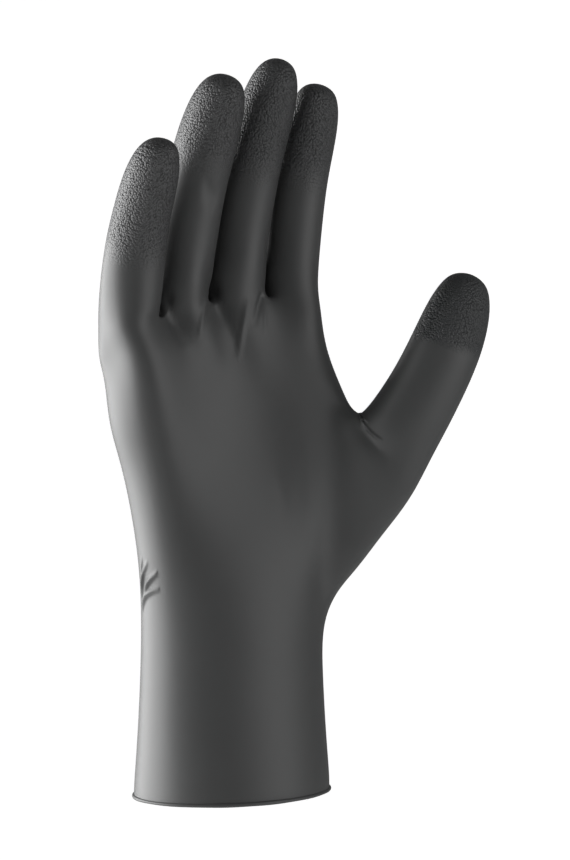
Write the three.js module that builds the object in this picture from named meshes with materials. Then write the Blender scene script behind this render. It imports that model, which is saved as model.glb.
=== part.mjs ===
// A nitrile exam glove, hollow, in the form it has on a relaxed right hand with the palm to the front.
// It is dipped in one piece: film, fingers, thumb and the bead rolled at the cuff are one solid.
//
// Frame, in millimetres: the origin is the middle of the cuff's opening, in the plane of the rim.
// +Z runs up the forearm to the fingertips, +X is the thumb's side and -Y is the side of the palm.

import * as THREE from 'three';

// The film, and the bead rolled at its edge
const FILM_WALL = 1;
const BEAD_DIAMETER = 2.4;
const BEAD_SIDES = 8;

// The cuff, from the rim to the crease of the wrist
const CUFF_LENGTH = 58;
const CUFF_WIDTH = 69;
const CUFF_DEPTH = 56;
const CUFF_SLANT = 1.2; // how much higher the rim stands at the thumb's side than in the middle
const WRIST_WIDTH = 64;
const WRIST_DEPTH = 46;

// The palm, from the crease of the wrist to the webs between the fingers
const PALM_LENGTH = 106;
const PALM_DEPTH = 26;
const PALM_LEAN = -11.6; // how far the knuckles lie to the little finger's side of the forearm
const PALM_HOLLOW = 3; // how far the middle of the palm is drawn in
const WEB_DROP = 9; // the webs start lower on the back of the hand than on the palm
const WEB_NOTCH = 5; // how deep the valleys between the fingers are cut at the webs
const THUMB_WEB_OUT = 6.3; // how far the thumb's web stands out from the index's side
const THUMB_WEB_UP = 0.73; // how far up the palm it reaches, as a share of the palm's length

// One row for each finger, from the little finger to the index. "apart" is the room it leaves to
// the finger before it, and "forward" how far its root lies to the palm's side. "splay" turns it to
// the thumb's side, and the three bends, in degrees, add up towards the palm.
const FINGERS = [
  { length: 65, width: 21.2, depth: 20, apart: 0, rise: -7, forward: 8, splay: 1.8, bends: [9, 14, 9] },
  { length: 80, width: 21, depth: 20.5, apart: -0.3, rise: 0, forward: 2, splay: 5.3, bends: [8, 12, 6] },
  { length: 84, width: 19.8, depth: 19.5, apart: 1, rise: 2, forward: 0, splay: 5.3, bends: [8, 10, 6] },
  { length: 76, width: 19.5, depth: 19, apart: 2, rise: 1, forward: 1, splay: 3.4, bends: [3.5, 11, 8] },
];
const FINGER_JOINTS = [0.42, 0.72]; // the two inner joints, as shares of the finger's length
const LITTLE_TAPER = 0.14; // the share of its width that the little finger loses at the tip

// The thumb: its three bones from the root in the heel of the hand, each with its length and where
// it points, in degrees: out from the forearm's line, and forward from the plane of the palm.
const THUMB = { width: 25.5, depth: 21.5, rootAcross: 0.27, rootUp: 0.16, rootForward: 7 };
const THUMB_BONES = [
  { length: 57, out: 29, forward: 22 },
  { length: 30, out: 24, forward: 17 },
  { length: 30, out: 17, forward: 8 },
];
const THUMB_KNUCKLE = 0.5; // the thumb's knuckle, as a share of the length of its three bones
const THUMB_WEB_DIP = 0.75; // how steeply the web falls away from the palm, as a share of its length
const THENAR_SWELL = 0.27; // how far the ball of the thumb rounds out, as a share of its length
const THUMB_ROOT_STRAIGHT = 0.44; // how much of its length keeps the line of the thumb past it
const THENAR_RISE = 11; // how far the palm rises towards the ball of the thumb
const THENAR_FACING = -32; // where on the palm's side it is highest, in degrees from the thumb's side

// Rows of the cuff, from the rim up. "at" is a share of the cuff's length, and "flare" goes from
// the wrist's section at 0 to the opening's at 1.
const CUFF_ROWS = [
  { at: 0, flare: 1 },
  { at: 0.12, flare: 0.86 },
  { at: 0.36, flare: 0.5 },
  { at: 0.68, flare: 0.18 },
];

// Rows of the palm. "up" is a share of the palm's length, "wide" and "deep" are shares of the
// wrist's section at comb 0 and of the knuckles' at comb 1, and "comb" is how far the outline has
// gone from an oval to a row of finger roots. "lean", "notch", "hollow", "rise" and "web" are shares
// of the palm's lean, of the notch, the hollow and the rise, and of how far the thumb's web stands out.
const PALM_ROWS = [
  { up: 0.02, wide: 1.0, deep: 1.0, lean: 0, comb: 0, notch: 0, hollow: 0, rise: 0, web: 0 },
  { up: 0.24, wide: 1.0, deep: 0.99, lean: 0, comb: 0.2, notch: 0, hollow: 0.3, rise: 0.35, web: 0 },
  { up: 0.48, wide: 0.99, deep: 1.02, lean: 0.22, comb: 0.5, notch: 0, hollow: 0.9, rise: 1, web: 0.4 },
  { up: THUMB_WEB_UP, wide: 0.96, deep: 1.1, lean: 0.62, comb: 0.8, notch: 0, hollow: 0.8, rise: 0.6, web: 1 },
  { up: 0.87, wide: 0.95, deep: 1.1, lean: 0.78, comb: 0.95, notch: 0.3, hollow: 0.2, rise: 0, web: 0.3 },
  { up: 0.94, wide: 0.96, deep: 1.05, lean: 0.9, comb: 1, notch: 0.6, hollow: 0, rise: 0, web: 0.05 },
];
const THUMB_ROWS = 3; // rows of the palm, from its first, that the thumb's root opens into

// Folds: valleys in the palm's side of the film, each from one place to another. "across" is a share
// of the knuckles' width from their middle, "up" a share of the palm's length from the wrist, and
// "sink" and "spread" are shares of the palm's depth: how deep a fold goes, and how far to each side.
const FOLDS = [
  { from: { across: -0.03, up: 1.09 }, to: { across: 0.07, up: 0.84 }, sink: 0.09, spread: 0.13 },
  { from: { across: -0.2, up: 1.02 }, to: { across: -0.15, up: 0.87 }, sink: 0.06, spread: 0.12 },
  { from: { across: 0.52, up: 0.64 }, to: { across: 0.62, up: 0.52 }, sink: 0.06, spread: 0.13 },
];

// Rings of a finger and of the thumb past its knuckle. "at" is a share of the length, and "wide"
// and "deep" are shares of the width and depth.
const FINGER_RINGS = [
  { at: 0.09, wide: 0.94, deep: 1.16 },
  { at: 0.25, wide: 1.01, deep: 1.02 },
  { at: 0.43, wide: 1.01, deep: 1.0 },
  { at: 0.58, wide: 0.98, deep: 0.95 },
  { at: 0.73, wide: 0.98, deep: 0.95 },
  { at: 0.87, wide: 0.88, deep: 0.84 },
  { at: 0.965, wide: 0.58, deep: 0.54 },
];
const THUMB_ROOT_STEPS = [0.25, 0.5, 0.75]; // rings of the root, between the palm and the knuckle
const THUMB_RINGS = [
  { at: THUMB_KNUCKLE, wide: 1.07, deep: 1.12 },
  { at: 0.64, wide: 0.99, deep: 1.02 },
  { at: 0.78, wide: 0.98, deep: 0.97 },
  { at: 0.9, wide: 0.86, deep: 0.84 },
  { at: 0.972, wide: 0.56, deep: 0.52 },
];

// Columns round a row of the palm: two for each finger on the palm's side, as many on the back,
// and one in the middle of each edge.
const FRONT_COLUMNS = 2 * FINGERS.length;
const COLUMNS = 2 * FRONT_COLUMNS + 4;
const THUMB_COLUMN = FRONT_COLUMNS + 1;
const LITTLE_COLUMN = COLUMNS - 1;
const FINGER_SIDES = 8;
const THUMB_FIRST = THUMB_COLUMN - 2; // the thumb opens between these two columns of the palm
const THUMB_LAST = THUMB_COLUMN + 1;
const THUMB_SIDES = 2 * (THUMB_LAST - THUMB_FIRST) + 2 * THUMB_ROWS;
const RING_START = 225; // a limb's rings start at the corner low on the palm's side, in degrees

const WRIST_Z = CUFF_LENGTH;
const KNUCKLE_Z = WRIST_Z + PALM_LENGTH;
const KNUCKLE_WIDTH = FINGERS.reduce((sum, { width, apart }) => sum + width + apart, 0);
const CORNER_SHARE = 0.4; // the palm's four corners lie this share of its width and depth out

// How narrow the thumb's web, the palm's hollow and the ball of the thumb are round a row of the
// palm: powers of the cosine of the angle from where each is highest.
const THUMB_WEB_POWER = 4;
const HOLLOW_POWER = 3;
const THENAR_POWER = 5;

const { degToRad: radians, lerp } = THREE.MathUtils;

// A smoothed cage lies inside its corners: this is how far out the corners of an even ring of
// sides go for the smooth ring to have radius 1.
const cornerReach = (sides) => 3 / (2 + Math.cos((2 * Math.PI) / sides));

const cage = { points: [], quads: [] };

function addPoint(point) {
  cage.points.push(point);
  return cage.points.length - 1;
}

// Joins two loops of point numbers that run the same way round.
function joinLoops(quads, lower, upper) {
  lower.forEach((corner, i) => {
    const next = (i + 1) % lower.length;
    quads.push([corner, lower[next], upper[next], upper[i]]);
  });
}

// The middle of each finger's root.
const fingerRoots = [];
let edge = PALM_LEAN - KNUCKLE_WIDTH / 2;
for (const { width, apart, rise, forward } of FINGERS) {
  edge += apart + width;
  fingerRoots.push(new THREE.Vector3(edge - width / 2, -forward, KNUCKLE_Z + rise));
}

// Where a column stands on the row of finger roots. "notch" is the share of the valleys' depth.
function combPoint(column, notch) {
  if (column === THUMB_COLUMN || column === LITTLE_COLUMN) {
    const outer = column === THUMB_COLUMN ? FINGERS.length - 1 : 0;
    const side = column === THUMB_COLUMN ? 1 : -1;
    const root = fingerRoots[outer];
    return new THREE.Vector3(root.x + (side * FINGERS[outer].width) / 2, root.y, root.z - WEB_DROP / 2);
  }
  const front = column <= FRONT_COLUMNS;
  const place = front ? column : 2 * FRONT_COLUMNS + 2 - column;
  const side = front ? -1 : 1;
  const drop = front ? 0 : WEB_DROP;
  if (place % 2 === 1) {
    const root = fingerRoots[(place - 1) / 2];
    return new THREE.Vector3(root.x, root.y + (side * PALM_DEPTH) / 2, root.z - drop);
  }
  const corner = place === 0 || place === FRONT_COLUMNS;
  if (corner) {
    const outer = place === 0 ? 0 : FINGERS.length - 1;
    const root = fingerRoots[outer];
    const across = (place === 0 ? -1 : 1) * FINGERS[outer].width * CORNER_SHARE;
    return new THREE.Vector3(root.x + across, root.y + side * PALM_DEPTH * CORNER_SHARE, root.z - drop);
  }
  const middle = fingerRoots[place / 2 - 1].clone().add(fingerRoots[place / 2]).multiplyScalar(0.5);
  middle.y += side * (PALM_DEPTH / 2 - WEB_NOTCH * notch);
  middle.z -= drop;
  return middle;
}

// A point on an oval of the given size round the forearm.
function ovalPoint(column, width, depth) {
  const angle = ((column - THUMB_COLUMN) * 2 * Math.PI) / COLUMNS;
  const reach = cornerReach(COLUMNS) / 2;
  return new THREE.Vector3(Math.cos(angle) * width * reach, Math.sin(angle) * depth * reach, 0);
}

function cuffPoint(column, { at, flare }) {
  const width = lerp(WRIST_WIDTH, CUFF_WIDTH, flare);
  const point = ovalPoint(column, width, lerp(WRIST_DEPTH, CUFF_DEPTH, flare));
  point.z = at * CUFF_LENGTH + (1 - at) * CUFF_SLANT * (point.x / width) * 2;
  return point;
}

function palmPoint(column, { up, wide, deep, lean, comb, notch, hollow, rise, web }) {
  const oval = ovalPoint(column, WRIST_WIDTH, WRIST_DEPTH);
  const roots = combPoint(column, notch);
  const facing = ((column - THUMB_COLUMN) * 2 * Math.PI) / COLUMNS;
  const swell = (angle, power) => Math.max(Math.cos(facing - angle), 0) ** power;
  const point = new THREE.Vector3(
    lerp(oval.x, roots.x - PALM_LEAN, comb) * wide,
    lerp(oval.y, roots.y, comb) * deep,
    WRIST_Z + up * PALM_LENGTH + (roots.z - KNUCKLE_Z) * comb,
  );
  point.x += PALM_LEAN * lean + THUMB_WEB_OUT * web * swell(0, THUMB_WEB_POWER);
  point.y += PALM_HOLLOW * hollow * swell(-Math.PI / 2, HOLLOW_POWER);
  point.y -= THENAR_RISE * rise * swell(radians(THENAR_FACING), THENAR_POWER);
  return point;
}

const columns = Array.from({ length: COLUMNS }, (_, column) => column);
const cuffRows = CUFF_ROWS.map((row) => columns.map((column) => addPoint(cuffPoint(column, row))));
const palmRows = PALM_ROWS.map((row) => columns.map((column) => addPoint(palmPoint(column, row))));
const webRow = columns.map((column) => addPoint(combPoint(column, 1)));

// The skin of the cuff and the palm, left open where the thumb grows out of its edge.
const rows = [...cuffRows, ...palmRows, webRow];
const thumbRow = cuffRows.length;
for (let r = 0; r + 1 < rows.length; r++) {
  for (const column of columns) {
    const inThumb = r >= thumbRow && r < thumbRow + THUMB_ROWS;
    if (inThumb && column >= THUMB_FIRST && column < THUMB_LAST) continue;
    const next = (column + 1) % COLUMNS;
    cage.quads.push([rows[r][column], rows[r][next], rows[r + 1][next], rows[r + 1][column]]);
  }
}

// The places of a ring's corners about a point of a limb's line. The depth is measured the way that
// "deepwards" points, and the width across it.
function ringPlaces(line, at, deepwards, width, depth, sides) {
  const along = line.getTangentAt(at);
  const deepAxis = deepwards.clone().addScaledVector(along, -along.dot(deepwards)).normalize();
  const wideAxis = deepAxis.clone().cross(along);
  const reach = cornerReach(sides) / 2;
  return Array.from({ length: sides }, (_, i) => {
    const angle = radians(RING_START) + (i * 2 * Math.PI) / sides;
    return line
      .getPointAt(at)
      .addScaledVector(wideAxis, Math.cos(angle) * width * reach)
      .addScaledVector(deepAxis, Math.sin(angle) * depth * reach);
  });
}

// Closes a limb's last ring with a point at its tip.
function addTip(ring, point) {
  const tip = addPoint(point);
  for (let i = 0; i < ring.length; i += 2) {
    cage.quads.push([ring[i], ring[i + 1], ring[(i + 2) % ring.length], tip]);
  }
}

// The line of a limb through its joints.
const limbLine = (joints) => new THREE.CatmullRomCurve3(joints, false, 'centripetal');

// A point low in the middle of each web, where two fingers part.
const webs = fingerRoots.slice(1).map((root, k) => {
  const middle = root.clone().add(fingerRoots[k]).multiplyScalar(0.5);
  middle.z -= WEB_DROP / 2;
  return addPoint(middle);
});

const backwards = new THREE.Vector3(0, 1, 0);

FINGERS.forEach((finger, k) => {
  const back = 2 * FRONT_COLUMNS + 2 - 2 * k;
  let loop = [
    webRow[2 * k],
    webRow[2 * k + 1],
    webRow[2 * k + 2],
    webs[k] ?? webRow[THUMB_COLUMN],
    webRow[back - 2],
    webRow[back - 1],
    webRow[back],
    webs[k - 1] ?? webRow[LITTLE_COLUMN],
  ];
  const joints = [fingerRoots[k]];
  const ends = [...FINGER_JOINTS, 1];
  const splay = radians(finger.splay);
  let bend = 0;
  ends.forEach((end, i) => {
    bend += radians(finger.bends[i]);
    const bone = finger.length * (end - (ends[i - 1] ?? 0));
    const along = new THREE.Vector3(Math.sin(splay), -Math.sin(bend), Math.cos(bend) * Math.cos(splay));
    joints.push(joints[i].clone().addScaledVector(along.normalize(), bone));
  });
  const line = limbLine(joints);
  const taper = k === 0 ? LITTLE_TAPER : 0;
  for (const { at, wide, deep } of FINGER_RINGS) {
    const width = finger.width * wide * (1 - taper * at);
    const depth = finger.depth * deep * (1 - taper * at);
    const ring = ringPlaces(line, at, backwards, width, depth, FINGER_SIDES).map(addPoint);
    joinLoops(cage.quads, loop, ring);
    loop = ring;
  }
  addTip(loop, line.getPointAt(1));
});

// The thumb's ring of points where it opens out of the palm, from the corner low on the palm's side.
function thumbOpening() {
  const top = thumbRow + THUMB_ROWS;
  const loop = [];
  for (let column = THUMB_FIRST; column < THUMB_LAST; column++) loop.push(rows[thumbRow][column]);
  for (let r = thumbRow; r < top; r++) loop.push(rows[r][THUMB_LAST]);
  for (let column = THUMB_LAST; column > THUMB_FIRST; column--) loop.push(rows[top][column]);
  for (let r = top; r > thumbRow; r--) loop.push(rows[r][THUMB_FIRST]);
  return loop;
}

function addThumb() {
  const root = new THREE.Vector3(
    THUMB.rootAcross * KNUCKLE_WIDTH,
    -THUMB.rootForward,
    WRIST_Z + THUMB.rootUp * PALM_LENGTH,
  );
  const joints = [root];
  THUMB_BONES.forEach(({ length, out, forward }, i) => {
    const flat = Math.cos(radians(forward));
    const along = new THREE.Vector3(
      Math.sin(radians(out)) * flat,
      -Math.sin(radians(forward)),
      Math.cos(radians(out)) * flat,
    );
    joints.push(joints[i].clone().addScaledVector(along, length));
  });
  const line = limbLine(joints);
  // The thumb is turned a quarter round, with its width towards the index.
  const towardsIndex = new THREE.Vector3(-1, 0, 1);
  const ringAt = ({ at, wide, deep }) =>
    ringPlaces(line, at, towardsIndex, THUMB.depth * deep, THUMB.width * wide, THUMB_SIDES);

  // The root's rings lie on curves from the opening to the knuckle. They leave the palm upwards
  // below the thumb and downwards above it, where they make the web.
  const opening = thumbOpening();
  const knuckle = ringAt(THUMB_RINGS[0]);
  const along = line.getTangentAt(THUMB_KNUCKLE);
  const curves = opening.map((index, i) => {
    const angle = radians(RING_START) + (i * 2 * Math.PI) / THUMB_SIDES;
    const start = cage.points[index];
    const reach = start.distanceTo(knuckle[i]);
    const leave = knuckle[i].clone().sub(start);
    leave.z -= reach * Math.max(Math.sin(angle), 0) * THUMB_WEB_DIP;
    leave.x -= reach * Math.min(Math.sin(angle), 0) * THENAR_SWELL;
    leave.y += reach * Math.abs(Math.cos(angle)) * THENAR_SWELL;
    return new THREE.CubicBezierCurve3(
      start,
      start.clone().addScaledVector(leave, 1 / 3),
      knuckle[i].clone().addScaledVector(along, -reach * THUMB_ROOT_STRAIGHT),
      knuckle[i],
    );
  });
  let loop = opening;
  const places = THUMB_ROOT_STEPS.map((step) => curves.map((curve) => curve.getPoint(step)));
  for (const ringPlace of [...places, ...THUMB_RINGS.map(ringAt)]) {
    const ring = ringPlace.map(addPoint);
    joinLoops(cage.quads, loop, ring);
    loop = ring;
  }
  addTip(loop, line.getPointAt(1));
}
addThumb();

// Each edge of a mesh of quads, with the quads beside it.
function edgesOf(quads) {
  const edges = new Map();
  quads.forEach((quad, q) => {
    quad.forEach((a, i) => {
      const b = quad[(i + 1) % quad.length];
      const key = a < b ? `${a} ${b}` : `${b} ${a}`;
      if (!edges.has(key)) edges.set(key, { ends: [a, b], quads: [] });
      edges.get(key).quads.push(q);
    });
  });
  return edges;
}

function middleOf(points) {
  const sum = new THREE.Vector3();
  points.forEach((point) => sum.add(point));
  return sum.divideScalar(points.length);
}

// One step of smooth subdivision: each quad becomes four, and the open edge stays an edge.
function subdivide({ points, quads }) {
  const centres = quads.map((quad) => middleOf(quad.map((i) => points[i])));
  const edges = edgesOf(quads);
  const around = points.map(() => ({ centres: [], middles: [], rim: [] }));
  quads.forEach((quad, q) => quad.forEach((i) => around[i].centres.push(centres[q])));

  const out = points.map((p) => p.clone());
  const edgePoint = new Map();
  for (const [key, { ends, quads: beside }] of edges) {
    const corners = ends.map((i) => points[i]);
    const middle = middleOf(corners);
    const open = beside.length === 1;
    ends.forEach((i) => around[i].middles.push(middle));
    if (open) ends.forEach((i) => around[i].rim.push(middle));
    edgePoint.set(key, out.length);
    out.push(open ? middle : middleOf([...corners, ...beside.map((q) => centres[q])]));
  }
  points.forEach((p, i) => {
    const { centres: faces, middles, rim } = around[i];
    if (rim.length) {
      out[i] = p.clone().multiplyScalar(2).add(rim[0]).add(rim[1]).divideScalar(4);
      return;
    }
    const n = faces.length;
    out[i] = middleOf(faces)
      .addScaledVector(middleOf(middles), 2)
      .addScaledVector(p, n - 3)
      .divideScalar(n);
  });
  const centreStart = out.length;
  out.push(...centres);

  const smaller = [];
  const pointOn = (a, b) => edgePoint.get(a < b ? `${a} ${b}` : `${b} ${a}`);
  quads.forEach((quad, q) => {
    quad.forEach((corner, i) => {
      const next = quad[(i + 1) % 4];
      const before = quad[(i + 3) % 4];
      smaller.push([corner, pointOn(corner, next), centreStart + q, pointOn(before, corner)]);
    });
  });
  return { points: out, quads: smaller };
}

// The outward direction at each point, from the quads round it.
function normalsOf({ points, quads }) {
  const normals = points.map(() => new THREE.Vector3());
  for (const [a, b, c, d] of quads) {
    const across = points[c].clone().sub(points[a]);
    const normal = across.cross(points[d].clone().sub(points[b])).normalize();
    [a, b, c, d].forEach((i) => normals[i].add(normal));
  }
  return normals.map((n) => n.normalize());
}

// Presses the folds into the palm's side of the skin.
function pressFolds(skin) {
  const place = ({ across, up }) =>
    new THREE.Vector3(PALM_LEAN + across * KNUCKLE_WIDTH, 0, WRIST_Z + up * PALM_LENGTH);
  const folds = FOLDS.map(({ from, to, sink, spread }) => {
    const line = new THREE.Line3(place(from), place(to));
    return { line, sink: sink * PALM_DEPTH, spread: spread * PALM_DEPTH };
  });
  const normals = normalsOf(skin);
  const nearest = new THREE.Vector3();
  skin.points.forEach((point, i) => {
    const flat = point.clone().setY(0);
    for (const { line, sink, spread } of folds) {
      const away = flat.distanceTo(line.closestPointToPoint(flat, true, nearest)) / spread;
      point.addScaledVector(normals[i], -sink * Math.exp(-away * away) * Math.max(-normals[i].y, 0));
    }
  });
}

// The points of the open edge, in order round the cuff.
function rimLoop(quads) {
  const after = new Map();
  for (const { ends, quads: beside } of edgesOf(quads).values()) {
    if (beside.length === 1) after.set(...ends);
  }
  const loop = [after.keys().next().value];
  while (loop.length < after.size) loop.push(after.get(loop.at(-1)));
  return loop;
}

// The outer skin, the inner skin a wall's thickness inside it, and the bead that joins the two
// round the cuff's edge.
function gloveGeometry() {
  const skin = subdivide(cage);
  pressFolds(skin);
  const normals = normalsOf(skin);
  const count = skin.points.length;
  const inside = skin.points.map((p, i) => p.clone().addScaledVector(normals[i], -FILM_WALL));
  const points = [...skin.points, ...inside];
  const quads = [...skin.quads, ...skin.quads.map((quad) => quad.map((i) => i + count).reverse())];

  const rim = rimLoop(skin.quads);
  const radius = BEAD_DIAMETER / 2;
  const outward = rim.map((i) => new THREE.Vector3(normals[i].x, normals[i].y, 0).normalize());
  rim.forEach((i) => {
    points[i].z += BEAD_DIAMETER;
    points[i + count].z += BEAD_DIAMETER / 2;
  });
  // The bead's section turns three quarters of the way round, from above the rim to inside it.
  let loop = rim;
  for (let step = 1; step < BEAD_SIDES; step++) {
    const angle = Math.PI / 2 - (step * 1.5 * Math.PI) / BEAD_SIDES;
    const next = rim.map((i, j) => {
      const place = points[i].clone().addScaledVector(outward[j], Math.cos(angle) * radius);
      place.z += (Math.sin(angle) - 1) * radius;
      points.push(place);
      return points.length - 1;
    });
    joinLoops(quads, next, loop);
    loop = next;
  }
  joinLoops(quads, rim.map((i) => i + count), loop);

  const position = new Float32Array(points.flatMap((p) => p.toArray()));
  const geometry = new THREE.BufferGeometry();
  geometry.setAttribute('position', new THREE.BufferAttribute(position, 3));
  geometry.setIndex(quads.flatMap(([a, b, c, d]) => [a, b, c, a, c, d]));
  geometry.computeVertexNormals();
  return geometry;
}

const nitrile = new THREE.MeshStandardMaterial({ color: 0x3c3e3e, roughness: 0.5, metalness: 0 });

const root = new THREE.Group();
const glove = new THREE.Mesh(gloveGeometry(), nitrile);
glove.name = 'glove';
root.add(glove);

export default root;
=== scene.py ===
import math

import bmesh
import bpy
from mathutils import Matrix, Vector
from mathutils.bvhtree import BVHTree
from mathutils.kdtree import KDTree


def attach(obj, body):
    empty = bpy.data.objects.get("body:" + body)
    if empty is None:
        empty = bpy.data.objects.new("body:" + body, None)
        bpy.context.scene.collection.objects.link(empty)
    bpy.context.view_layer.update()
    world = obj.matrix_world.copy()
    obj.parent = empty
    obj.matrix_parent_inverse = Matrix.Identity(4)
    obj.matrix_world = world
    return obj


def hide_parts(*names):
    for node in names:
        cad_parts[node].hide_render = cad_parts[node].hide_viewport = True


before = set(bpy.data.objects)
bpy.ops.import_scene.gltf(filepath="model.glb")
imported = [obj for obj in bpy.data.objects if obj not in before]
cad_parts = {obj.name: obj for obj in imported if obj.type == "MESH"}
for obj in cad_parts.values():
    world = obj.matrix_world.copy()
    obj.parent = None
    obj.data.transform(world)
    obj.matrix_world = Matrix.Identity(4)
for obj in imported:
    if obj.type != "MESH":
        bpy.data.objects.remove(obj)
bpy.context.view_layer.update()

# The camera stands where the photograph was taken from: a metre from the glove, a little above the
# middle of it, and round from the palm to the little finger's side.
PHOTO_WIDTH = 570
PHOTO_HEIGHT = 860
PIXEL = 0.000335  # what a pixel covers at the glove
CUFF_PIXEL = (232, 795)  # where the middle of the cuff's opening lies
VIEW_AZIMUTH = math.radians(-30)
VIEW_ELEVATION = math.radians(2)
VIEW_DISTANCE = 1.0
SENSOR = 36

camera_back = Vector((
    math.sin(VIEW_AZIMUTH) * math.cos(VIEW_ELEVATION),
    -math.cos(VIEW_AZIMUTH) * math.cos(VIEW_ELEVATION),
    math.sin(VIEW_ELEVATION),
))
camera_right = Vector((math.cos(VIEW_AZIMUTH), math.sin(VIEW_AZIMUTH), 0))
camera_up = camera_back.cross(camera_right)
target = camera_right * (PHOTO_WIDTH / 2 - CUFF_PIXEL[0]) * PIXEL
target.z += (CUFF_PIXEL[1] - PHOTO_HEIGHT / 2) * PIXEL
eye = target + camera_back * VIEW_DISTANCE

camera_data = bpy.data.cameras.new("camera")
camera_data.sensor_width = SENSOR
camera_data.lens = SENSOR * VIEW_DISTANCE / (PIXEL * PHOTO_HEIGHT)
camera = bpy.data.objects.new("camera", camera_data)
camera.location = eye
camera.rotation_mode = "QUATERNION"
camera.rotation_quaternion = (-camera_back).to_track_quat("-Z", "Y")
bpy.context.scene.collection.objects.link(camera)
bpy.context.scene.camera = camera


# The glove's film is nitrile rubber, dipped in one piece on a former and pulled off it. It is
# smoothed here from the solid's outer skin: the rolled bead is cut off and made anew below.
MM = 0.001
FILM_WALL = 0.5 * MM
FILM_LEVELS = 2
BEAD_HEIGHT = 0.7 * MM  # where the film ends in the middle of the bead
BEAD_SLANT = 0.012  # how much the bead climbs towards the thumb's side
SOLID_BEAD_TOP = 2.94 * MM
SOLID_BEAD_SLANT = 1.2 / 34.5  # the solid's bead is thicker and climbs more
SAME_PLACE = 0.01 * MM

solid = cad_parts["glove"]
shell = bmesh.new()
shell.from_mesh(solid.data)
bmesh.ops.remove_doubles(shell, verts=shell.verts, dist=SAME_PLACE)
solid_bead = [v for v in shell.verts if v.co.z < SOLID_BEAD_TOP + SOLID_BEAD_SLANT * v.co.x]
bmesh.ops.delete(shell, geom=solid_bead, context="VERTS")

# What is joined to the highest face is the outer skin, and the rest is the inner one.
highest = max(shell.faces, key=lambda face: face.calc_center_median().z)
skin = {highest}
waiting = [highest]
while waiting:
    for edge in waiting.pop().edges:
        for face in edge.link_faces:
            if face not in skin:
                skin.add(face)
                waiting.append(face)
inner = [face for face in shell.faces if face not in skin]
bmesh.ops.delete(shell, geom=inner, context="FACES")
bmesh.ops.join_triangles(
    shell, faces=shell.faces, angle_face_threshold=math.pi, angle_shape_threshold=math.pi
)

# The edge of the film goes down to the middle of the bead.
rim = [edge for edge in shell.edges if edge.is_boundary]
lower = bmesh.ops.extrude_edge_only(shell, edges=rim)["geom"]
for v in lower:
    if isinstance(v, bmesh.types.BMVert):
        v.co.z = BEAD_HEIGHT + BEAD_SLANT * v.co.x

film_mesh = bpy.data.meshes.new("glove_film")
shell.to_mesh(film_mesh)
shell.free()
film = bpy.data.objects.new("glove_film", film_mesh)
bpy.context.scene.collection.objects.link(film)


def apply_modifiers(piece):
    """Makes the piece's mesh what its modifiers show."""
    depsgraph = bpy.context.evaluated_depsgraph_get()
    finished = bpy.data.meshes.new_from_object(piece.evaluated_get(depsgraph))
    piece.modifiers.clear()
    piece.data = finished


smooth = film.modifiers.new("smooth", "SUBSURF")
smooth.levels = FILM_LEVELS
smooth.render_levels = FILM_LEVELS
apply_modifiers(film)

# Where the film swells out or sinks in. Pixel is where the middle of each swell is seen in the
# photograph, and radius and rise are in millimetres.
SWELLS = [
    {"pixel": (104, 347), "radius": 9, "rise": -1.5},
    {"pixel": (118, 425), "radius": 13, "rise": 1.3},
    {"pixel": (405, 485), "radius": 11, "rise": 1.2},
    {"pixel": (387, 510), "radius": 11, "rise": 1.0},
    {"pixel": (334, 585), "radius": 8, "rise": -0.9},
    {"pixel": (312, 325), "radius": 10, "rise": 1.4},
    {"pixel": (357, 420), "radius": 4.5, "rise": 2.0},
    {"pixel": (170, 148), "radius": 4, "rise": 0.8},
    {"pixel": (307, 92), "radius": 5, "rise": 1.1},
    {"pixel": (217, 276), "radius": 6, "rise": 1.0},
    {"pixel": (270, 275), "radius": 7, "rise": 1.1},
    {"pixel": (236, 92), "radius": 5, "rise": 0.9},
    {"pixel": (177, 320), "radius": 6, "rise": -1.3},
    {"pixel": (222, 312), "radius": 5, "rise": -0.7},
]

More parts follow.
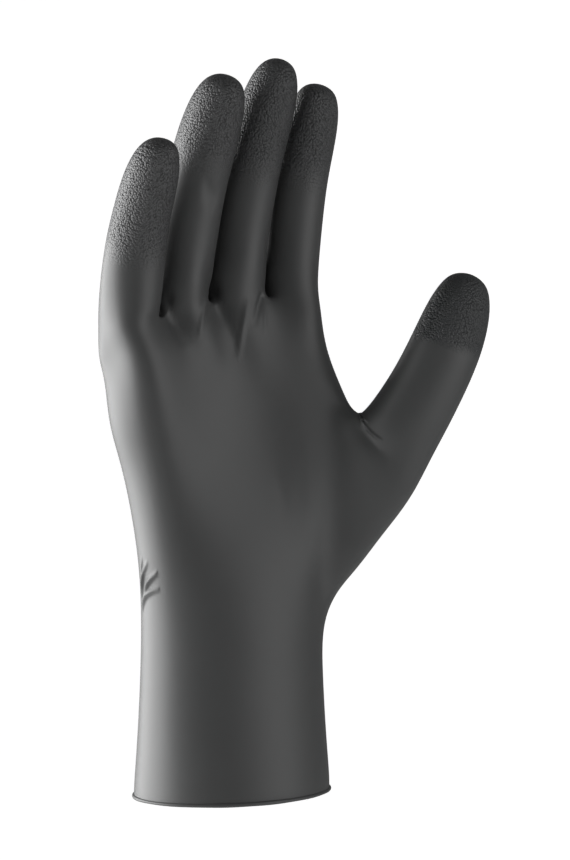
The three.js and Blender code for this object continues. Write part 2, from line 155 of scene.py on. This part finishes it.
# Where it folds. Each path is where the fold is seen in the photograph, in its pixels, width is its
# half width and rise is how far it stands out along its middle, in millimetres. A fold that is rooted
# is at its full size at its first point, and any other fades at both ends.
FOLDS = [
    # Valleys and pulled ridges at the roots of the fingers
    {"width": 1.8, "rise": -1.0, "rooted": True, "path": [(214, 290), (219, 304), (227, 322), (238, 356)]},
    {"width": 1.2, "rise": 0.4, "rooted": False, "path": [(250, 296), (245, 316), (241, 338), (238, 362)]},
    {"width": 1.0, "rise": 0.35, "rooted": False, "path": [(209, 288), (204, 312), (199, 340)]},
    {"width": 2.4, "rise": -1.3, "rooted": True, "path": [(167, 300), (172, 314), (179, 328), (185, 346)]},
    {"width": 1.3, "rise": -0.8, "rooted": True, "path": [(262, 296), (258, 310), (254, 328)]},
    {"width": 0.9, "rise": 0.25, "rooted": False, "path": [(267, 302), (265, 318), (265, 336)]},
    # The pulled web of the thumb
    {"width": 0.5, "rise": 0.45, "rooted": False, "path": [(343, 397), (347, 405), (352, 415)]},
    {"width": 0.5, "rise": 0.55, "rooted": False, "path": [(353, 412), (361, 421), (372, 433), (383, 441)]},
    {"width": 0.5, "rise": 0.45, "rooted": False, "path": [(356, 413), (363, 417), (370, 423)]},
    {"width": 2.0, "rise": -0.8, "rooted": False, "path": [(348, 408), (360, 430), (374, 446), (390, 460)]},
    # Short creases where the film is pressed together at the wrist
    {"width": 0.5, "rise": 0.5, "rooted": False, "path": [(142, 556), (142, 568), (142, 580)]},
    {"width": 0.6, "rise": 1.1, "rooted": False, "path": [(148, 561), (144, 573), (143, 587), (142, 605)]},
    {"width": 0.6, "rise": 1.2, "rooted": False, "path": [(158, 572), (149, 582), (145, 595)]},
    {"width": 0.6, "rise": 1.2, "rooted": False, "path": [(160, 589), (151, 592), (145, 599), (142, 616)]},
    # Shallow dents on the ring finger and in the palm
    {"width": 1.6, "rise": -0.55, "rooted": False, "path": [(206, 176), (209, 190), (206, 204)]},
    {"width": 1.6, "rise": -0.45, "rooted": False, "path": [(216, 184), (214, 198), (210, 214)]},
    {"width": 2.6, "rise": -0.15, "rooted": False, "path": [(272, 470), (282, 490), (288, 520)]},
    {"width": 2.6, "rise": -0.12, "rooted": False, "path": [(296, 480), (300, 500), (296, 522)]},
]
FOLD_REACH = 3  # widths from its middle at which a fold or swell has died out
FINE_WIDTH = 1.5  # folds narrower than this, in millimetres, need the finer mesh
FINE_REACH = (3.2 * MM, 2.2 * MM)  # how far round them the mesh is cut finer, first and second
PATH_STEPS = 16  # stretches that each part of a path is followed in


def film_tree(piece):
    """The piece's faces, for finding what a ray meets."""
    mesh = bmesh.new()
    mesh.from_mesh(piece.data)
    tree = BVHTree.FromBMesh(mesh)
    mesh.free()
    return tree


def on_film(tree, pixel):
    """The place on the film that is seen at a pixel of the photograph."""
    across = camera_right * (pixel[0] - PHOTO_WIDTH / 2) * PIXEL
    upwards = camera_up * (PHOTO_HEIGHT / 2 - pixel[1]) * PIXEL
    ray = (across + upwards - camera_back * VIEW_DISTANCE).normalized()
    return tree.ray_cast(eye, ray)[0]


def smooth_path(corners):
    """Pixels along a smooth line through the corners."""
    ends = [corners[0], *corners, corners[-1]]
    path = []
    for a, b, c, d in zip(ends, ends[1:], ends[2:], ends[3:]):
        a, b, c, d = Vector(a), Vector(b), Vector(c), Vector(d)
        straight = c - a
        bend = 2 * a - 5 * b + 4 * c - d
        swing = 3 * b - 3 * c + d - a
        for step in range(PATH_STEPS):
            t = step / PATH_STEPS
            path.append(b + 0.5 * t * (straight + t * (bend + t * swing)))
    return path + [Vector(corners[-1])]


# The folds' places on the film, and a finer mesh round them.
tree = film_tree(film)
fold_places = []
for fold in FOLDS:
    places = [on_film(tree, pixel) for pixel in smooth_path(fold["path"])]
    fold_places.append([place for place in places if place is not None])

narrow = [places for fold, places in zip(FOLDS, fold_places) if fold["width"] < FINE_WIDTH]
narrow_places = [place for places in narrow for place in places]
near = KDTree(len(narrow_places))
for i, place in enumerate(narrow_places):
    near.insert(place, i)
near.balance()
fine = bmesh.new()
fine.from_mesh(film.data)
for reach in FINE_REACH:
    edges = [e for e in fine.edges if near.find((e.verts[0].co + e.verts[1].co) / 2)[2] < reach]
    bmesh.ops.subdivide_edges(fine, edges=edges, cuts=1, use_grid_fill=True)
fine.normal_update()

# How far each point of the film moves along its normal, by the folds and by the swells.
moves = {}
fine.verts.ensure_lookup_table()
points = KDTree(len(fine.verts))
for v in fine.verts:
    points.insert(v.co, v.index)
points.balance()
for fold, places in zip(FOLDS, fold_places):
    width = fold["width"] * MM
    nearest = {}
    for i, place in enumerate(places):
        for _, index, distance in points.find_range(place, FOLD_REACH * width):
            if index not in nearest or distance < nearest[index][0]:
                nearest[index] = (distance, i)
    for index, (distance, i) in nearest.items():
        share = i / (len(places) - 1)
        fade = math.cos(math.pi / 2 * share) if fold["rooted"] else math.sin(math.pi * share)
        height = fold["rise"] * MM * fade * math.exp(-((distance / width) ** 2))
        moves[index] = moves.get(index, 0) + height
for swell in SWELLS:
    radius = swell["radius"] * MM
    middle = on_film(tree, swell["pixel"])
    for _, index, distance in points.find_range(middle, FOLD_REACH * radius):
        height = swell["rise"] * MM * math.exp(-((distance / radius) ** 2))
        moves[index] = moves.get(index, 0) + height
for index, height in moves.items():
    v = fine.verts[index]
    v.co += v.normal * height
fine.to_mesh(film.data)
fine.free()

# The bead is the film's own edge, rolled up into a ring before it comes off the former. It is rolled
# a little unevenly. The film's last edge is its middle, and its rings go round that edge.
BEAD_RADIUS = 0.65 * MM
BEAD_SIDES = 12
BEAD_WAVES = [(0.12, 3, 0.6), (0.05, 11, 0)]  # share of the radius, waves round the cuff and start


def place_ring(ring, angle):
    """Puts each point of a ring at this angle round the place on the film's edge that it belongs to."""
    for v, (centre, outward) in ring.items():
        around = math.atan2(centre.y, centre.x)
        uneven = sum(size * math.sin(waves * around + start) for size, waves, start in BEAD_WAVES)
        radius = BEAD_RADIUS * (1 + uneven)
        v.co = centre + outward * math.cos(angle) * radius + Vector((0, 0, math.sin(angle) * radius))


bead = bmesh.new()
bead.from_mesh(film.data)
film_edge = [edge for edge in bead.edges if edge.is_boundary]
copied = bmesh.ops.duplicate(bead, geom=film_edge)["geom"]
first_edges = [g for g in copied if isinstance(g, bmesh.types.BMEdge)]
ring = {v: (v.co.copy(), v.co.xy.to_3d().normalized()) for v in copied if isinstance(v, bmesh.types.BMVert)}
place_ring(ring, 0)
last_edges = first_edges
for side in range(1, BEAD_SIDES):
    grown = bmesh.ops.extrude_edge_only(bead, edges=last_edges)["geom"]
    last_edges = [g for g in grown if isinstance(g, bmesh.types.BMEdge)]
    next_ring = {}
    for v in grown:
        if isinstance(v, bmesh.types.BMVert):
            below = next(e.other_vert(v) for e in v.link_edges if e.other_vert(v) in ring)
            next_ring[v] = ring[below]
    ring = next_ring
    place_ring(ring, side * 2 * math.pi / BEAD_SIDES)
bmesh.ops.bridge_loops(bead, edges=first_edges + last_edges)
bmesh.ops.recalc_face_normals(bead, faces=bead.faces)
bead.to_mesh(film.data)
bead.free()

# The film is textured for grip at the ends of the fingers and of the thumb. Tip and root give the line
# of each, grip is how far down it the texture goes and soft how far it fades, all in millimetres.
# Painted shade is how much darker the textured film is coloured there: none on the little and ring fingers
# by the edge light, some on the index and middle fingers, most on the thumb.
FINGERS = [
    {"tip": (-41, -28, 217), "root": (-43, -8, 157), "grip": 38, "soft": 6, "painted_shade": 0},
    {"tip": (-15, -22, 239), "root": (-22, -2, 164), "grip": 28, "soft": 7, "painted_shade": 0},
    {"tip": (7, -20, 245), "root": (-1, 0, 166), "grip": 37, "soft": 7, "painted_shade": 0.25},
    {"tip": (25, -15, 238), "root": (21, -1, 165), "grip": 31, "soft": 7, "painted_shade": 0.25},
    {"tip": (65, -41, 174), "root": (50, -35, 118), "grip": 24, "soft": 1.2, "painted_shade": 0.75},
]


def grip_at(place):
    """How much a place is textured, from 0 to 1, and how much painted shade it gets."""
    best = None
    for finger in FINGERS:
        tip = Vector(finger["tip"]) * MM
        line = Vector(finger["root"]) * MM - tip
        share = min(max((place - tip).dot(line) / line.length_squared, 0), 1)
        away = (place - tip - line * share).length
        if best is None or away < best[0]:
            best = (away, (place - tip).dot(line.normalized()) / MM, finger)
    down, finger = best[1], best[2]
    fade = (finger["grip"] + finger["soft"] - down) / (2 * finger["soft"])
    grip = min(max(fade, 0), 1)
    return grip, grip * finger["painted_shade"]


grip = film.data.attributes.new("grip", "FLOAT", "POINT")
painted_shade = film.data.attributes.new("painted_shade", "FLOAT", "POINT")
for i, v in enumerate(film.data.vertices):
    grip.data[i].value, painted_shade.data[i].value = grip_at(v.co)

wall = film.modifiers.new("wall", "SOLIDIFY")
wall.thickness = FILM_WALL
wall.offset = -1
for polygon in film.data.polygons:
    polygon.use_smooth = True


def group_of(name, inputs, outputs):
    """A new shader group with these sockets, its input node and its output node."""
    group = bpy.data.node_groups.new(name, "ShaderNodeTree")
    for label, value in inputs.items():
        socket = group.interface.new_socket(label, in_out="INPUT", socket_type="NodeSocketFloat")
        socket.default_value = value
    for label, kind in outputs.items():
        group.interface.new_socket(label, in_out="OUTPUT", socket_type=kind)
    return group, group.nodes.new("NodeGroupInput"), group.nodes.new("NodeGroupOutput")


def math_node(nodes, links, operation, first, second):
    """A math node of two values, each a socket or a number."""
    node = nodes.new("ShaderNodeMath")
    node.operation = operation
    for socket, value in zip(node.inputs, (first, second)):
        if isinstance(value, (int, float)):
            socket.default_value = value
        else:
            links.new(value, socket)
    return node.outputs[0]


# The pebbled grain that the former leaves on the ends of the fingers, and the faint mottle of the film.
# The group's sizes and heights are in metres.
PIT_SHARPNESS = 2.5
MOTTLE_SCALE = 55.0
MOTTLE_DETAIL = 3.0


def grain_group():
    """The grain's and the mottle's height, the mottle, and the pits between the pebbles."""
    group, entry, leave = group_of(
        "film_grain",
        {"Grip": 0.0, "Pebble Size": 0.00068, "Pebble Height": 0.00014, "Mottle Height": 0.0001},
        {"Height": "NodeSocketFloat", "Mottle": "NodeSocketFloat", "Pits": "NodeSocketFloat"},
    )
    nodes, links = group.nodes, group.links
    coordinates = nodes.new("ShaderNodeTexCoord")
    pebbles = nodes.new("ShaderNodeTexVoronoi")
    links.new(coordinates.outputs["Object"], pebbles.inputs["Vector"])
    links.new(math_node(nodes, links, "DIVIDE", 1.0, entry.outputs["Pebble Size"]), pebbles.inputs["Scale"])
    squared = math_node(nodes, links, "POWER", pebbles.outputs["Distance"], 2.0)
    pits = math_node(nodes, links, "MULTIPLY", squared, PIT_SHARPNESS)
    rounded = math_node(nodes, links, "SUBTRACT", 1.0, pits)
    pebble = math_node(nodes, links, "MULTIPLY", rounded, entry.outputs["Pebble Height"])
    masked = math_node(nodes, links, "MULTIPLY", pebble, entry.outputs["Grip"])
    mottle = nodes.new("ShaderNodeTexNoise")
    mottle.inputs["Scale"].default_value = MOTTLE_SCALE
    mottle.inputs["Detail"].default_value = MOTTLE_DETAIL
    links.new(coordinates.outputs["Object"], mottle.inputs["Vector"])
    waves = math_node(nodes, links, "MULTIPLY", mottle.outputs["Fac"], entry.outputs["Mottle Height"])
    links.new(math_node(nodes, links, "ADD", masked, waves), leave.inputs["Height"])
    links.new(mottle.outputs["Fac"], leave.inputs["Mottle"])
    # The pits also give where the grain's colour is painted: painted highlight on the pebbles' tops,
    # painted shade in the pits.
    links.new(pits, leave.inputs["Pits"])
    return group


FILM_COLOUR = (0.042, 0.043, 0.043, 1)
FILM_PALE = (0.05, 0.051, 0.051, 1)
# Painted shade, which the textured ends of the thumb and of the index and middle fingers are mixed towards.
FILM_PAINTED_SHADE = (0.016, 0.018, 0.019, 1)
# Painted highlight on the pebbles' tops and painted shade in the pits between them.
PEBBLE_PAINTED_HIGHLIGHT = (0.062, 0.063, 0.064, 1)
PIT_PAINTED_SHADE = (0.024, 0.024, 0.025, 1)
SMOOTH_ROUGHNESS = 0.5
TEXTURED_ROUGHNESS = 0.45
RUBBER_IOR = 1.5

nitrile = bpy.data.materials.new("nitrile_film")
nitrile.use_nodes = True
nodes, links = nitrile.node_tree.nodes, nitrile.node_tree.links
shader = nodes["Principled BSDF"]
shader.inputs["Metallic"].default_value = 0
shader.inputs["IOR"].default_value = RUBBER_IOR
grip_mask = nodes.new("ShaderNodeAttribute")
grip_mask.attribute_name = "grip"
grain = nodes.new("ShaderNodeGroup")
grain.node_tree = grain_group()
links.new(grip_mask.outputs["Fac"], grain.inputs["Grip"])
bump = nodes.new("ShaderNodeBump")
bump.inputs["Distance"].default_value = 1.0
bump.inputs["Strength"].default_value = 1.0
links.new(grain.outputs["Height"], bump.inputs["Height"])
links.new(bump.outputs["Normal"], shader.inputs["Normal"])


def colour_mix(nodes, links, factor, first, second):
    """A mix of two colours, each a socket or a colour."""
    node = nodes.new("ShaderNodeMix")
    node.data_type = "RGBA"
    links.new(factor, node.inputs["Factor"])
    for label, colour in (("A", first), ("B", second)):
        if isinstance(colour, tuple):
            node.inputs[label].default_value = colour
        else:
            links.new(colour, node.inputs[label])
    return node.outputs["Result"]


painted_shade_mask = nodes.new("ShaderNodeAttribute")
painted_shade_mask.attribute_name = "painted_shade"
tone = colour_mix(nodes, links, grain.outputs["Mottle"], FILM_COLOUR, FILM_PALE)
# The grain's colour: painted highlight on the pebbles' tops, painted shade in the pits between them.
pebble_highlight_and_pit_shade = colour_mix(nodes, links, grain.outputs["Pits"], PEBBLE_PAINTED_HIGHLIGHT, PIT_PAINTED_SHADE)
tips = colour_mix(nodes, links, grip_mask.outputs["Fac"], tone, pebble_highlight_and_pit_shade)
# Painted shade on the textured ends of the thumb and of the index and middle fingers, most on the thumb.
colour = colour_mix(nodes, links, painted_shade_mask.outputs["Fac"], tips, FILM_PAINTED_SHADE)
links.new(colour, shader.inputs["Base Color"])
sheen = nodes.new("ShaderNodeMapRange")
sheen.inputs["To Min"].default_value = SMOOTH_ROUGHNESS
sheen.inputs["To Max"].default_value = TEXTURED_ROUGHNESS
links.new(grip_mask.outputs["Fac"], sheen.inputs["Value"])
links.new(sheen.outputs["Result"], shader.inputs["Roughness"])
film.data.materials.clear()
film.data.materials.append(nitrile)

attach(film, "root")
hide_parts("glove")


# The studio: a sheet of white paper that lies under the glove and turns up behind it, far enough
# below the held cuff for the shadow to fall outside the picture.
FLOOR = -0.3
BACKDROP_SIZE = 6.0
BACKDROP_BEND = 0.8
BEND_STEPS = 12
PAPER_COLOUR = (0.8, 0.8, 0.8, 1)
PAPER_ROUGHNESS = 0.9
PAPER_GLOW = 0.85  # makes the paper plain white for the camera alone

stage_mesh = bmesh.new()
bmesh.ops.create_grid(stage_mesh, x_segments=1, y_segments=1, size=BACKDROP_SIZE / 2)
far = [e for e in stage_mesh.edges if all(v.co.y > 0 for v in e.verts)]
upright = bmesh.ops.extrude_edge_only(stage_mesh, edges=far)["geom"]
for v in upright:
    if isinstance(v, bmesh.types.BMVert):
        v.co.z += BACKDROP_SIZE / 2
turned = [e for e in stage_mesh.edges if len(e.link_faces) == 2]
bmesh.ops.bevel(
    stage_mesh,
    geom=turned,
    offset=BACKDROP_BEND,
    affect="EDGES",
    segments=BEND_STEPS,
    profile=0.5,
    material=-1,
)
away = -camera_back.xy.to_3d().normalized()
for v in stage_mesh.verts:
    v.co = camera_right * v.co.x + away * v.co.y + Vector((0, 0, v.co.z + FLOOR))
backdrop_mesh = bpy.data.meshes.new("backdrop")
stage_mesh.to_mesh(backdrop_mesh)
stage_mesh.free()
for polygon in backdrop_mesh.polygons:
    polygon.use_smooth = True
backdrop = bpy.data.objects.new("backdrop", backdrop_mesh)
bpy.context.scene.collection.objects.link(backdrop)

paper = bpy.data.materials.new("backdrop_paper")
paper.use_nodes = True
nodes, links = paper.node_tree.nodes, paper.node_tree.links
paper_shader = nodes["Principled BSDF"]
paper_shader.inputs["Base Color"].default_value = PAPER_COLOUR
paper_shader.inputs["Roughness"].default_value = PAPER_ROUGHNESS
paper_shader.inputs["Emission Color"].default_value = (1, 1, 1, 1)
seen = nodes.new("ShaderNodeLightPath")
glow = math_node(nodes, links, "MULTIPLY", seen.outputs["Is Camera Ray"], PAPER_GLOW)
links.new(glow, paper_shader.inputs["Emission Strength"])
backdrop_mesh.materials.append(paper)

# The light: a wide soft box close on the little finger's side, which draws the bright edge, a
# tall weak one in front on the thumb's side, and a low even light from all round. Places and sizes
# are in metres, from the middle of the view.
LIGHTS = [
    {
        "name": "edge_light",
        "right": -0.75,
        "back": -0.09,
        "up": 0.0,
        "width": 1.15,
        "height": 0.7,
        "power": 20,
    },
    {
        "name": "side_light",
        "right": 1.1,
        "back": 0.5,
        "up": 0.1,
        "width": 1.0,
        "height": 1.3,
        "power": 8,
    },
]
for light in LIGHTS:
    data = bpy.data.lights.new(light["name"], "AREA")
    data.shape = "RECTANGLE"
    data.size = light["width"]
    data.size_y = light["height"]
    data.energy = light["power"]
    lamp = bpy.data.objects.new(light["name"], data)
    place = camera_right * light["right"] + camera_back * light["back"] + camera_up * light["up"]
    lamp.location = target + place
    lamp.rotation_mode = "QUATERNION"
    lamp.rotation_quaternion = (-place).to_track_quat("-Z", "Y")
    bpy.context.scene.collection.objects.link(lamp)

WORLD_LIGHT = 0.17  # the strength that the glove sees, where the camera sees plain white
world = bpy.data.worlds.new("studio")
world.use_nodes = True
nodes, links = world.node_tree.nodes, world.node_tree.links
nodes["Background"].inputs["Color"].default_value = (1, 1, 1, 1)
seen = nodes.new("ShaderNodeLightPath")
strength = math_node(nodes, links, "MAXIMUM", seen.outputs["Is Camera Ray"], WORLD_LIGHT)
links.new(strength, nodes["Background"].inputs["Strength"])
bpy.context.scene.world = world
bpy.context.scene.view_settings.view_transform = "Standard"

bpy.context.view_layer.update()
